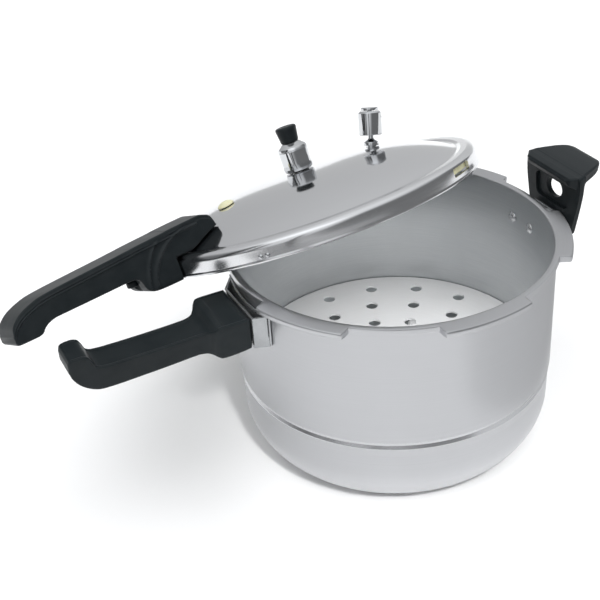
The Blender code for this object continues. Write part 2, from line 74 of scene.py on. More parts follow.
# holes for bolts and screws; brackets' bolts and rivets
BOLT_HOLE_R, LONG_BOLT_Z, HELPER_BOLT_Z = 2.5, 147.0, 149.0
LONG_RIVETS, HELPER_RIVETS = (-15.0, 15.0), (-11.5, 11.5)
LONG_FRONT, LONG_SLOPE_RUN = 128.7, 6.2
# half axes and height of the hole in the helper handle
OVAL, OVAL_Z = (10.0, 8.0), 172.0
# angle over which a bayonet lug ends, on the pot and on the lid
POT_LUG_EASE, LID_LUG_EASE = 0.75, 0.7
# range of a noise value that a ramp uses
NOISE_LOW, NOISE_HIGH = 0.3, 0.7


# ---------------------------------------------------------------- shapes

def arc(cx, cz, radius, start, end, count):
    out = []
    for i in range(count + 1):
        a = math.radians(start + (end - start) * i / count)
        out.append((cx + radius * math.cos(a), cz + radius * math.sin(a)))
    return out


def rounded(points, count=5, closed=False):
    """Rounds the corners of a path of (x, z, radius)."""
    out, n = [], len(points)
    for i, (x, z, radius) in enumerate(points):
        p = Vector((x, z))
        if radius <= 0 or (not closed and i in (0, n - 1)):
            out.append(tuple(p))
            continue
        a, b = Vector(points[i - 1][:2]) - p, Vector(points[(i + 1) % n][:2]) - p
        half = a.angle(b) / 2
        if half > math.pi / 2 - 0.01:
            out.append(tuple(p))
            continue
        t = min(radius / math.tan(half), 0.49 * a.length, 0.49 * b.length)
        r = t * math.tan(half)
        u, v = a.normalized(), b.normalized()
        centre = p + (u + v).normalized() * (r / math.sin(half))
        s, e = p + u * t - centre, p + v * t - centre
        phi = math.pi - 2 * half
        for k in range(count + 1):
            f = k / count
            out.append(tuple(centre + (s * math.sin((1 - f) * phi) + e * math.sin(f * phi)) / math.sin(phi)))
    return out


def turned(profile, angles=160, closed=False, bend=None):
    """Turns a path of (r, z) about Z.  bend(i, r, z, angle) may give another r for point i."""
    if isinstance(angles, int):
        angles = [360.0 * i / angles for i in range(angles)]
    n, verts, rows = len(angles), [], []
    for i, (r, z) in enumerate(profile):
        if r < 1e-6:
            rows.append([len(verts)] * n)
            verts.append((0.0, 0.0, z))
            continue
        rows.append(list(range(len(verts), len(verts) + n)))
        for a in angles:
            q = bend(i, r, z, a) if bend else r
            verts.append((q * math.cos(math.radians(a)), q * math.sin(math.radians(a)), z))
    faces = []
    pairs = list(zip(rows, rows[1:])) + ([(rows[-1], rows[0])] if closed else [])
    for top, low in pairs:
        for k in range(n):
            face = []
            for v in (top[k], top[(k + 1) % n], low[(k + 1) % n], low[k]):
                if v not in face:
                    face.append(v)
            faces.append(face)
    return verts, faces


def piece(name, shape, mats, body, nodes=(), place=None, pick=None, sharp=38, cutters=()):
    """A finished mesh piece that rides on a body and stands for CAD nodes."""
    verts, faces = shape
    mesh = bpy.data.meshes.new(name)
    mesh.from_pydata([Vector(v) * MM for v in verts], [], faces)
    bm = bmesh.new()
    bm.from_mesh(mesh)
    bmesh.ops.remove_doubles(bm, verts=bm.verts, dist=1e-6)
    bmesh.ops.dissolve_degenerate(bm, edges=bm.edges, dist=1e-7)
    bmesh.ops.recalc_face_normals(bm, faces=bm.faces)
    bm.to_mesh(mesh)
    bm.free()
    obj = bpy.data.objects.new(name, mesh)
    SCENE.collection.objects.link(obj)
    for tool in cutters:
        cut(obj, tool)
    mesh = obj.data
    mesh.name = name
    for mat in mats if isinstance(mats, (list, tuple)) else (mats,):
        mesh.materials.append(mat)
    if pick:
        for f in mesh.polygons:
            f.material_index = pick(f.center / MM, f.normal)
    mesh.shade_smooth()
    mesh.set_sharp_from_angle(angle=math.radians(sharp))
    if place is not None:
        mesh.transform(place)
    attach(obj, body)
    if nodes:
        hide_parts(*nodes)
    return obj


def cut(obj, shape):
    """Cuts a closed shape out of a mesh and keeps the result as the mesh."""
    verts, faces = shape
    mesh = bpy.data.meshes.new("cutter")
    mesh.from_pydata([Vector(v) * MM for v in verts], [], faces)
    bm = bmesh.new()
    bm.from_mesh(mesh)
    bmesh.ops.recalc_face_normals(bm, faces=bm.faces)
    bm.to_mesh(mesh)
    bm.free()
    tool = bpy.data.objects.new("cutter", mesh)
    SCENE.collection.objects.link(tool)
    mod = obj.modifiers.new("cut", "BOOLEAN")
    mod.operation, mod.solver, mod.object = "DIFFERENCE", "EXACT", tool
    bpy.context.view_layer.update()
    done = bpy.data.meshes.new_from_object(obj.evaluated_get(bpy.context.evaluated_depsgraph_get()))
    obj.modifiers.remove(mod)
    obj.data = done
    bpy.data.objects.remove(tool)


def prism(loop, start, axis, side, length):
    """Closed prism: loop of (u, v) in the plane at start, pushed along axis.  side is the u direction."""
    w, u = Vector(axis).normalized(), Vector(side).normalized()
    v = w.cross(u)
    n = len(loop)
    verts = []
    for push in (0.0, length):
        verts += [tuple(Vector(start) + w * push + u * p + v * q) for p, q in loop]
    faces = [list(range(n)), list(range(n, 2 * n))]
    faces += [[i, (i + 1) % n, n + (i + 1) % n, n + i] for i in range(n)]
    return verts, faces


def join(shapes):
    verts, faces = [], []
    for v, f in shapes:
        faces += [[i + len(verts) for i in face] for face in f]
        verts += v
    return verts, faces


def circle(radius, count):
    return [(radius * math.cos(2 * math.pi * i / count), radius * math.sin(2 * math.pi * i / count))
            for i in range(count)]


def smooth_step(a, b, x):
    t = min(max((x - a) / (b - a), 0.0), 1.0)
    return t * t * (3 - 2 * t)


def lug_angles(lug_deg, edge, count=150):
    """Angles for a turned shape, closer together at the lugs' ends."""
    base = [360.0 * i / count for i in range(count)]
    ends = [PITCH / 2 + PITCH * k + s * lug_deg / 2 for k in range(6) for s in (-1, 1)]
    out = [a for a in base if min(abs((a - e + 180) % 360 - 180) for e in ends) > edge * 1.2]
    out += [(e + edge * (k / 6 - 1)) % 360 for e in ends for k in range(13)]
    return sorted(out)


def lug_share(angle, lug_deg, edge):
    """1 on a lug, 0 in a gap."""
    off = abs(angle % PITCH - PITCH / 2)
    return 1 - smooth_step(lug_deg / 2 - edge, lug_deg / 2 + edge, off)


def monotone(t, y, q):
    """Monotone cubic through (t, y), read at q."""
    h, d = np.diff(t), np.diff(y) / np.diff(t)
    m = np.concatenate(([d[0]], np.zeros(len(y) - 2), [d[-1]]))
    for i in range(1, len(y) - 1):
        if d[i - 1] * d[i] > 0:
            w1, w2 = 2 * h[i] + h[i - 1], h[i] + 2 * h[i - 1]
            m[i] = (w1 + w2) / (w1 / d[i - 1] + w2 / d[i])
    k = np.clip(np.searchsorted(t, q) - 1, 0, len(h) - 1)
    s = (q - t[k]) / h[k]
    return ((1 + 2 * s) * (1 - s) ** 2 * y[k] + s * (1 - s) ** 2 * h[k] * m[k]
            + s * s * (3 - 2 * s) * y[k + 1] + s * s * (s - 1) * h[k] * m[k + 1])


def section(top_half, low_half, low, high, r_top, r_low, sides):
    """Rounded cross-section as (y, z) points, the same number for every call."""
    height = high - low
    rt, rl = min(r_top, 0.46 * height, 0.8 * top_half), min(r_low, 0.46 * height, 0.8 * low_half)
    corners = ((top_half, high, rt, 0), (-top_half, high, rt, 90), (-low_half, low, rl, 180),
               (low_half, low, rl, 270))
    out = []
    for k, (y, z, r, start) in enumerate(corners):
        cy, cz = y - math.copysign(r, y), z - r if k < 2 else z + r
        out += arc(cy, cz, r, start, start + 90, 6)
        last, (y2, z2, r2, start2) = out[-1], corners[(k + 1) % 4]
        nxt = (y2 - math.copysign(r2, y2) + r2 * math.cos(math.radians(start2)),
               (z2 - r2 if (k + 1) % 4 < 2 else z2 + r2) + r2 * math.sin(math.radians(start2)))
        if k in (1, 3):
            steps = [j / sides for j in range(1, sides)]
        else:
            edge = min(0.7 / max(abs(nxt[0] - last[0]), 1.0), 0.09)
            steps = [edge * j for j in (1, 2, 3, 4)] + [0.5] + [1 - edge * j for j in (4, 3, 2, 1)]
        out += [(last[0] + (nxt[0] - last[0]) * f, last[1] + (nxt[1] - last[1]) * f) for f in steps]
    return out


def grip(stations, sign, step, r_top=2.4, r_low=3.0, sides=10, relief=None, cap=1.2):
    """Loft through stations of (x, top half, low half, low, high) with rounded ends."""
    s = np.array(stations, float)
    t = np.concatenate(([0.0], np.cumsum(np.linalg.norm(np.diff(s, axis=0), axis=1) + 1e-3)))
    q = np.unique(np.concatenate((np.linspace(0, t[-1], int(t[-1] / step) + 1), t)))
    q = q[np.concatenate(([True], np.diff(q) > step * 0.2))]
    rows = np.stack([monotone(t, s[:, k], q) for k in range(5)], 1)
    ends = []
    for row, way in ((rows[0], -1), (rows[-1], 1)):
        made = []
        for k in (3, 2, 1):
            a = math.radians(90 * k / 3)
            shrink, push = cap * (1 - math.cos(a)), cap * (math.sin(a) - 1)
            made.append((row[0] + way * push, row[1] - shrink, row[2] - shrink, row[3] + shrink,
                         row[4] - shrink))
        ends.append(made)
    first, last = rows[0][0] + cap, rows[-1][0] - cap
    rows = [tuple(r) for r in rows if first < r[0] < last]
    rows = ends[0] + rows + ends[1][::-1]
    verts, faces, n = [], [], 0
    for x, th, lh, low, high in rows:
        ring = section(th, lh, low, high, r_top, r_low, sides)
        n = len(ring)
        for y, z in ring:
            out, up = relief(x, y, z, (th, lh, low, high)) if relief else (0.0, 0.0)
            verts.append((sign * x, y + math.copysign(out, y), z + up))
    for k in range(len(rows) - 1):
        for i in range(n):
            j = (i + 1) % n
            faces.append([k * n + i, k * n + j, (k + 1) * n + j, (k + 1) * n + i])
    faces += [list(range(n)), list(range(len(verts) - n, len(verts)))]
    return verts, faces


# ---------------------------------------------------------------- materials

def link(tree, a, out, b, into):
    tree.links.new(a.outputs[out], b.inputs[into])


def node(tree, kind, **values):
    made = tree.nodes.new(kind)
    for key, value in values.items():
        setattr(made, key, value)
    return made


def math_node(tree, kind, a, b=None):
    made = node(tree, "ShaderNodeMath", operation=kind)
    for k, v in enumerate((a, b)):
        if v is None:
            continue
        if isinstance(v, (int, float)):
            made.inputs[k].default_value = v
        else:
            tree.links.new(v, made.inputs[k])
    return made.outputs[0]


def spun_coords(tree, across, along, own=None):
    """Texture vector that changes fast along the profile and slowly round the axis.

    own is the piece's own frame, where it differs from the row's.
    """
    coord = node(tree, "ShaderNodeTexCoord")
    split = node(tree, "ShaderNodeSeparateXYZ")
    if own is None:
        link(tree, coord, "Object", split, 0)
    else:
        back, turn = own.inverted(), node(tree, "ShaderNodeMapping")
        turn.inputs["Location"].default_value = back.translation
        turn.inputs["Rotation"].default_value = back.to_euler()
        link(tree, coord, "Object", turn, 0)
        link(tree, turn, 0, split, 0)
    x, y, z = split.outputs
    r = math_node(tree, "SQRT", math_node(tree, "ADD", math_node(tree, "MULTIPLY", x, x),
                                          math_node(tree, "MULTIPLY", y, y)))
    join_node = node(tree, "ShaderNodeCombineXYZ")
    tree.links.new(math_node(tree, "MULTIPLY", math_node(tree, "ADD", r, z), across), join_node.inputs[0])
    tree.links.new(math_node(tree, "MULTIPLY", x, along), join_node.inputs[1])
    tree.links.new(math_node(tree, "MULTIPLY", y, along), join_node.inputs[2])
    return join_node.outputs[0]


def plain_coords(tree, scale):
    coord, mapping = node(tree, "ShaderNodeTexCoord"), node(tree, "ShaderNodeMapping")
    link(tree, coord, "Object", mapping, 0)
    mapping.inputs["Scale"].default_value = scale
    return mapping.outputs[0]


def noise(tree, vector, detail, rough):
    made = node(tree, "ShaderNodeTexNoise")
    tree.links.new(vector, made.inputs["Vector"])
    made.inputs["Scale"].default_value = 1.0
    made.inputs["Detail"].default_value = detail
    made.inputs["Roughness"].default_value = rough
    return made.outputs["Fac"]


def spread(tree, value, low, high, lo_in=NOISE_LOW, hi_in=NOISE_HIGH, kind="LINEAR"):
    """Maps a value's range from lo_in..hi_in to low..high."""
    made = node(tree, "ShaderNodeMapRange", interpolation_type=kind)
    tree.links.new(value, made.inputs["Value"])
    for key, v in (("From Min", lo_in), ("From Max", hi_in), ("To Min", low), ("To Max", high)):
        made.inputs[key].default_value = v
    return made.outputs[0]


def tint(tree, value, dark, light):
    ramp = node(tree, "ShaderNodeValToRGB")
    tree.links.new(value, ramp.inputs[0])
    for stop, place, colour in zip(ramp.color_ramp.elements, (NOISE_LOW, NOISE_HIGH), (dark, light)):
        stop.position, stop.color = place, (*colour, 1.0)
    return ramp.outputs[0]


def bump(tree, value, height, shader, strength=1.0):
    made = node(tree, "ShaderNodeBump")
    made.inputs["Strength"].default_value = strength
    made.inputs["Distance"].default_value = height
    tree.links.new(value, made.inputs["Height"])
    tree.links.new(made.outputs[0], shader.inputs["Normal"])


def new_material(name, metallic):
    mat = bpy.data.materials.new(name)
    mat.use_nodes = True
    shader = mat.node_tree.nodes["Principled BSDF"]
    shader.inputs["Metallic"].default_value = metallic
    return mat, mat.node_tree, shader


def spun_metal(name, dark, light, rough, across=900.0, along=6.0, depth=0.000012, aniso=0.0, metallic=1.0,
               own=None):
    """Turned aluminium: fine rings, soft cloudy patches and uneven polish."""
    mat, tree, shader = new_material(name, metallic)
    rings = noise(tree, spun_coords(tree, across, along, own), 4.0, 0.7)
    patches = noise(tree, plain_coords(tree, (14, 14, 9)), 3.0, 0.5)
    mixed = math_node(tree, "ADD", math_node(tree, "MULTIPLY", rings, 0.55),
                      math_node(tree, "MULTIPLY", patches, 0.45))
    tree.links.new(tint(tree, mixed, dark, light), shader.inputs["Base Color"])
    tree.links.new(spread(tree, mixed, rough[0], rough[1]), shader.inputs["Roughness"])
    bump(tree, rings, depth, shader)
    if aniso:
        shader.inputs["Anisotropic"].default_value = aniso
        tangent = node(tree, "ShaderNodeTangent", direction_type="RADIAL", axis="Z")
        tree.links.new(tangent.outputs[0], shader.inputs["Tangent"])
    return mat


def bright_metal(name, dark, light, rough, depth=0.00002, scale=40.0, metallic=1.0):
    """Polished or plated metal with faint waves and fine handling marks."""
    mat, tree, shader = new_material(name, metallic)
    waves = noise(tree, plain_coords(tree, (scale, scale, scale)), 2.0, 0.4)
    marks = noise(tree, plain_coords(tree, (900, 300, 500)), 5.0, 0.7)
    tree.links.new(tint(tree, waves, dark, light), shader.inputs["Base Color"])
    tree.links.new(spread(tree, marks, rough[0], rough[1]), shader.inputs["Roughness"])
    bump(tree, waves, depth, shader)
    return mat


def bakelite(name):
    """Moulded black phenolic: faint mottling, flow marks and a soft sheen."""
    mat, tree, shader = new_material(name, 0.0)
    mottle = noise(tree, plain_coords(tree, (60, 90, 90)), 5.0, 0.65)
    grain = noise(tree, plain_coords(tree, (1400, 1400, 1400)), 2.0, 0.5)
    colour = tint(tree, mottle, (0.010, 0.0135, 0.0155), (0.0155, 0.0195, 0.0215))
    tree.links.new(colour, shader.inputs["Base Color"])
    tree.links.new(spread(tree, mottle, 0.38, 0.46), shader.inputs["Roughness"])
    shader.inputs["Specular IOR Level"].default_value = 0.18
    bump(tree, grain, 0.00002, shader, 0.6)
    return mat


def silicone(name):
    mat, tree, shader = new_material(name, 0.0)
    mottle = noise(tree, plain_coords(tree, (150, 150, 150)), 4.0, 0.6)
    tree.links.new(tint(tree, mottle, (0.60, 0.575, 0.36), (0.74, 0.72, 0.50)), shader.inputs["Base Color"])
    tree.links.new(spread(tree, mottle, 0.42, 0.6), shader.inputs["Roughness"])
    shader.inputs["Subsurface Weight"].default_value = 0.15
    shader.inputs["Subsurface Radius"].default_value = (0.004, 0.003, 0.0015)
    bump(tree, mottle, 0.00003, shader, 0.5)
    return mat


POT_SKIN = spun_metal("pot_satin", (0.475, 0.48, 0.495), (0.52, 0.525, 0.54), (0.31, 0.37), across=1100.0,
                     along=1.2, depth=0.000008, aniso=0.35)
# Painted highlight: the band's step is more polished than the wall and gets a lighter colour than the wall,
# which stands in for the highlight along the band.
POT_BAND_POLISH_PAINTED_HIGHLIGHT = spun_metal("pot_band_polish_painted_highlight", (0.54, 0.545, 0.56), (0.60, 0.605, 0.62), (0.24, 0.30), across=300.0,
                      along=1.2, depth=0.000004)
POT_INSIDE = spun_metal("pot_brushed_inside", (0.54, 0.56, 0.575), (0.65, 0.665, 0.675), (0.32, 0.44),
                        across=1500.0, along=30.0, depth=0.00002, aniso=0.6, metallic=0.95)
# Painted light: the base's inside under the plate gets a pale, mostly matte colour so that it shows lit
# through the plate's holes.
POT_FLOOR_PAINTED_PALE = spun_metal("pot_floor_inside_painted_pale", (0.58, 0.61, 0.62), (0.70, 0.73, 0.74), (0.34, 0.46), across=900.0,
                       along=20.0, metallic=0.15)
PLATE_SKIN = spun_metal("plate_satin", (0.84, 0.845, 0.85), (0.90, 0.905, 0.91), (0.38, 0.50), across=700.0,
                        along=20.0, metallic=0.25)
CHROME = bright_metal("chrome_plate", (0.55, 0.56, 0.575), (0.64, 0.65, 0.665), (0.05, 0.10))
STRIP = bright_metal("bracket_bright", (0.31, 0.32, 0.33), (0.42, 0.43, 0.44), (0.16, 0.28), 0.00006,
                     60.0, 0.85)
FASTENER = bright_metal("fastener_steel_plain", (0.62, 0.625, 0.635), (0.74, 0.745, 0.755), (0.2, 0.34),
                        metallic=0.85)
BLACK = bakelite("bakelite_black")
CREAM = silicone("silicone_cream")


# ---------------------------------------------------------------- pot

def pot_profile():
    inner = 118.7 - CORNER_R
    flat = math.degrees(math.asin((CORNER - BASE_T) / inner))
    pts = [(0, BASE_T), (30, BASE_T), (60, BASE_T), (84, BASE_T)]
    pts += arc(CORNER_R, CORNER, inner, -flat, 0, 18)
    pts += rounded([(118.7, 55, 0), (118.7, 66.0, 10), (POT_R, 88.0, 10), (POT_R, 118, 0),
                    (POT_R, POT_H, 1.8), (123.4, POT_H, 0)], 6)
    pts += rounded([(123.4, POT_H, 0), (LUG_R, POT_H, 1.5), (LUG_R, POT_H - FLANGE_T, 1.5),
                    (126.2, POT_H - FLANGE_T, 0)], 5)[1:]
    low = rounded([(124.9, POT_H - FLANGE_T, 0), (POT_OUT, POT_H - FLANGE_T, 2.4), (POT_OUT, 110, 0),
                   (POT_OUT, 72.9, 0.5), (120.5, 71.7, 0.6), (120.5, 69.4, 1.0), (121.9, 66.8, 1.4),
                   (121.2, 60.0, 5.0), (121.2, CORNER, 0)], 5)
    low += arc(CORNER_R, CORNER, 45, -5, -90, 22) + [(50, 0), (25, 0), (0, 0)]
    return pts + low


def build_pot():
    profile = pot_profile()
    root = 124.0
    gap_share = (FLANGE_R - 0.6 - root) / (LUG_R - root)

    def bend(_, r, z, a):
        if r <= root or z < POT_H - FLANGE_T - 3:
            return r
        share = lug_share(a, POT_LUG_DEG, POT_LUG_EASE)
        return root + (r - root) * (gap_share + (1 - gap_share) * share)

    def pick(c, n):
        """0 outside, 1 the band's step (more polished, with a painted highlight), 2 inside, 3 the base's
        inside (painted pale as if lit through the plate's holes).
        """
        r = math.hypot(c.x, c.y)
        if BAND_Z[0] < c.z < BAND_Z[1] and r > POT_R:
            return 1
        if c.z < 12 and n.z > 0.5 and r < 100:
            return 3
        inward = n.x * c.x + n.y * c.y < -1e-3 * r
        if c.z < POT_H - 1.0 and r < 120.6 and (inward or (n.z > 0.5 and r < 118)):
            return 2
        return 0

    shape = turned(profile, lug_angles(POT_LUG_DEG, POT_LUG_EASE), bend=bend)
    piece("pot_shell", shape, (POT_SKIN, POT_BAND_POLISH_PAINTED_HIGHLIGHT, POT_INSIDE, POT_FLOOR_PAINTED_PALE), "pot", ("pot_body",),
          pick=pick, sharp=50)


def wall_loop(half, front, front_half):
    r = POT_OUT + 0.3
    a = math.degrees(math.asin(half / r))
    wall = arc(0, 0, r, a, -a, 14)
    pts = [(*p, 0.0) for p in wall] + [(front, -front_half, 2.6), (front, front_half, 2.6)]
    pts[0], pts[14] = (*wall[0], 2.4), (*wall[14], 2.4)
    return rounded(pts, 5, closed=True)


def strip_loop(loop, t, low, high, rise):
    """Sheet strip of thickness t bent round a closed loop, with eased edges.

    rise lifts it towards the wall, over the last LONG_SLOPE_RUN millimetres.
    """
    n = len(loop)
    ring = rounded([(0, high, 0.4), (-t, high, 0.4), (-t, low, 0.4), (0, low, 0.4)], 3, closed=True)
    m, verts = len(ring), []
    for i, (x, y) in enumerate(loop):
        a, b = Vector(loop[i - 1]), Vector(loop[(i + 1) % n])
        d = (b - a).normalized()
        out = Vector((-d.y, d.x))
        lift = rise * max(0.0, LONG_FRONT - x) / LONG_SLOPE_RUN
        for off, z in ring:
            verts.append((x + out.x * off, y + out.y * off, z + lift))
    faces = [[i * m + k, i * m + (k + 1) % m, ((i + 1) % n) * m + (k + 1) % m, ((i + 1) % n) * m + k]
             for i in range(n) for k in range(m)]
    return verts, faces


def build_brackets():
    half_turn = Matrix.Rotation(math.pi, 4, "Z")
    rows = (("long_bracket_strip", "pot_bracket", 35.0, LONG_FRONT, 23.6, 131.2, 156.4, 2.9, half_turn),
            ("helper_bracket_strip", "helper_bracket", 24.0, 147.3, 20.0, 140.0, 155.0, 0.0,
             Matrix.Identity(4)))
    for name, cad, half, front, front_half, low, high, rise, place in rows:
        shape = strip_loop(wall_loop(half, front, front_half)[::-1], 2.0, low, high, rise)
        piece(name, shape, STRIP, "pot", (cad,), place)
    tail = 5.1
    profile = rounded([(0, -2.6, 0), (2.6, -2.4, 2.0), (4.4, -0.9, 0.8), (4.4, -0.2, 0.1), (1.9, -0.2, 0),
                       (1.9, tail, 0), (3.4, tail, 0.2), (3.2, tail + 1.2, 0.6), (0, tail + 1.6, 0)], 5)
    for cad, z, turn, offsets in (("pot_bracket", LONG_BOLT_Z, math.pi, LONG_RIVETS),
                                  ("helper_bracket", HELPER_BOLT_Z, 0.0, HELPER_RIVETS)):
        for i, y in enumerate(offsets):
            a = math.asin(y / POT_R) + turn
            place = Matrix.Translation(Vector((119.85 * math.cos(a), 119.85 * math.sin(a), z)) * MM)
            place = place @ Matrix.Rotation(a, 4, "Z") @ Matrix.Rotation(math.pi / 2, 4, "Y")
            node_name = "%s_rivet_%d" % (cad, i + 1)
            piece(node_name.replace("rivet", "domed_rivet"), turned(profile, 40), FASTENER, "pot",
                  (node_name,), place)


POT_GRIP = (
    # distance from the pot's axis, half width at the top and below, lowest and highest point
    (129.3, 22.7, 22.5, 132.4, 155.4), (130.3, 23.5, 23.2, 131.6, 156.2), (148.0, 23.5, 23.2, 130.2, 156.3),
    (152.5, 23.2, 22.9, 130.4, 155.9), (155.0, 21.6, 21.4, 131.4, 153.8), (157.5, 17.6, 18.0, 132.4, 151.2),
    (161.0, 14.4, 15.0, 133.0, 149.4), (167.0, 13.1, 13.3, 132.8, 148.7), (185.0, 12.8, 12.8, 131.6, 148.3),
    (205.0, 12.8, 12.8, 130.9, 148.1), (225.0, 13.0, 13.0, 130.5, 148.2), (235.5, 13.1, 13.1, 130.7, 148.8),
    (239.5, 13.2, 13.1, 131.2, 150.6), (242.0, 13.3, 13.1, 132.0, 156.0), (244.5, 13.3, 13.0, 133.0, 159.6),
    (249.0, 13.2, 12.9, 135.8, 161.0), (254.0, 12.9, 12.6, 140.6, 160.8), (257.2, 12.4, 12.2, 146.0, 159.6),
    (258.4, 11.7, 11.6, 149.2, 157.8),
)
HELPER_GRIP = (
    # the same five measures
    (141.6, 25.0, 24.6, 187.4, 190.4), (142.8, 27.4, 27.0, 185.4, 191.8), (145.4, 29.4, 28.8, 183.6, 192.4),
    (147.9, 31.6, 30.8, 182.6, 192.8), (148.0, 32.0, 25.5, 140.0, 192.8), (152.0, 31.4, 25.5, 140.0, 193.2),
    (153.2, 31.0, 25.8, 144.0, 193.5), (154.2, 30.6, 26.2, 166.0, 193.6), (156.8, 29.6, 26.2, 177.5, 193.9),
    (161.5, 27.8, 25.6, 183.2, 194.2), (170.0, 24.4, 23.2, 185.2, 194.5), (175.5, 21.2, 20.4, 186.6, 194.4),
    (179.5, 17.0, 16.4, 187.8, 193.6), (181.6, 12.8, 12.2, 189.2, 192.2),
)


def build_handles():
    bolt_hole = prism(circle(BOLT_HOLE_R, 24), (-128, 0, LONG_BOLT_Z), (-1, 0, 0), (0, 1, 0), 15.5)
    shape = grip(POT_GRIP, -1, 1.2, 1.3, 1.6, relief=pot_grip_relief, cap=0.8)
    piece("long_handle_grip", shape, BLACK, "pot", ("pot_handle",),
          cutters=(bolt_hole,), sharp=40)
    oval = [(OVAL[0] * y, OVAL[1] * z) for y, z in circle(1.0, 40)]
    hole = prism(oval, (140, 0, OVAL_Z), (1, 0, 0), (0, 1, 0), 44)
    frame_loop = rounded([(-20, -12.5, 6), (20, -12.5, 6), (22, 8, 5), (-22, 8, 5)], 6, closed=True)
    recess = prism(frame_loop, (147.0, 0, OVAL_Z), (1, 0, 0), (0, 1, 0), 3.2)
    bolt_hole = prism(circle(BOLT_HOLE_R, 24), (146, 0, HELPER_BOLT_Z), (1, 0, 0), (0, 1, 0), 20)
    shape = grip(HELPER_GRIP, 1, 1.2, 1.8, 1.8, 24, relief=helper_relief)
    piece("helper_grip", shape, BLACK, "pot", ("helper_handle",),
          cutters=(recess, hole, bolt_hole), sharp=45)


def build_plate():
    top = PLATE_Z + PLATE_T
    disc = rounded([(0, top, 0), (40, top, 0), (80, top, 0), (PLATE_R, top, 0.6), (PLATE_R, PLATE_Z, 0.5),
                    (80, PLATE_Z, 0), (40, PLATE_Z, 0), (0, PLATE_Z, 0)], 4)
    holes = []
    for ring, count, phase in HOLE_RINGS:
        for i in range(count):
            a = 2 * math.pi * (i + phase) / count
            centre = (ring * math.cos(a), ring * math.sin(a), PLATE_Z - 2)
            holes.append(prism(circle(HOLE_R, 32), centre, (0, 0, 1), (1, 0, 0), 6))
    plate = piece("steamer_disc", turned(disc, 180), PLATE_SKIN, "plate", ("steamer_plate",),
                  cutters=(join(holes),), sharp=30)
    # light reaches the base through the holes, where the base's inside is also painted pale
    plate.visible_shadow = False


# ---------------------------------------------------------------- lid

def lid_matrix():
    """The lid's own frame: centre and axis from its joint, heading from the stop below its handle."""
    turn = [j for j in frame["joints"] if j["name"] == "lid_turn"][0]
    centre, up = Vector(turn["pos_m"]), Vector(turn["axis"]).normalized()
    points = [v.co for v in NODES["handle_stop"].data.vertices]
    out = sum(points, Vector()) / len(points) - centre
    x = -(out - up * out.dot(up)).normalized()
    y = up.cross(x)
    m = Matrix((x, y, up)).transposed().to_4x4()
    return Matrix.Translation(centre) @ m


LID = lid_matrix()
LID_SKIN = spun_metal("lid_polish", (0.655, 0.66, 0.675), (0.68, 0.685, 0.70), (0.07, 0.12), across=260.0,
                      along=3.0, depth=0.000002, own=LID)
# Painted light: the lid's outer ring and skirt take a rougher polish than the dome and a lighter colour,
# which paints light on the skirt and on the bright ring along its top edge.
LID_EDGE_POLISH_PAINTED_LIGHT = spun_metal("lid_edge_polish_painted_light", (0.66, 0.665, 0.68), (0.72, 0.725, 0.74), (0.15, 0.21), across=420.0,
                      along=9.0, depth=0.000006, own=LID)


def dome_z(r):
    return CREASE_Z + (CROWN_Z - CREASE_Z) * (1 - (min(r, CREASE_R) / CREASE_R) ** DOME_POWER)


def dome_place(ring, deg, lean=0.0):
    """Frame on the dome, its Z along the surface normal or leaning outward from it."""
    a = math.radians(deg)
    slope = math.atan(dome_z(ring + 0.5) - dome_z(ring - 0.5)) - math.radians(lean)
    spot = Matrix.Translation(Vector((ring * math.cos(a), ring * math.sin(a), dome_z(ring))) * MM)
    return LID @ spot @ Matrix.Rotation(a, 4, "Z") @ Matrix.Rotation(-slope, 4, "Y")


def lid_profile():
    radii = [CREASE_R * (i / 40) for i in range(41)]
    dome = [(r, dome_z(r)) for r in radii[:-1]]
    outer = dome + rounded([(CREASE_R - 1.5, dome_z(CREASE_R - 1.5), 0), (CREASE_R + 0.3, CREASE_Z, 1.8),
                            (CREASE_R + 3.4, RING_Z, 3.0), (LID_R - EDGE_R + 0.4, RING_Z, 0)], 5)
    outer += arc(LID_R - EDGE_R, RING_Z - EDGE_R, EDGE_R, 88, 0, 12)
    outer += rounded([(LID_R, 5.0, 0), (LID_R - 0.1, 2.6, 1.0), (LID_R + 0.3, 1.2, 0.6),
                      (LID_R + 0.1, 0.0, 0.5), (LID_R - 1.2, 0.0, 0)], 4)
    skirt_in = LID_R - SHELL_T
    lug = rounded([(LID_LUG_R + 3, 0.0, 0), (LID_LUG_R, 0.0, 0.8), (LID_LUG_R, LID_LUG_T, 0.8),
                   (LID_LUG_R + 3, LID_LUG_T, 0)], 4)
    inner = [(skirt_in, LID_LUG_T)] + arc(LID_R - EDGE_R, RING_Z - EDGE_R, EDGE_R - SHELL_T, 0, 90, 8)
    inner += [(CREASE_R + 3.0, RING_Z - SHELL_T), (CREASE_R - 0.6, CREASE_Z - SHELL_T - 0.2)]
    inner += [(r, dome_z(r) - SHELL_T) for r in reversed(radii[:-2])]
    on_lug = [False] * len(outer) + [True] * len(lug) + [False] * len(inner)
    return outer + lug + inner, on_lug


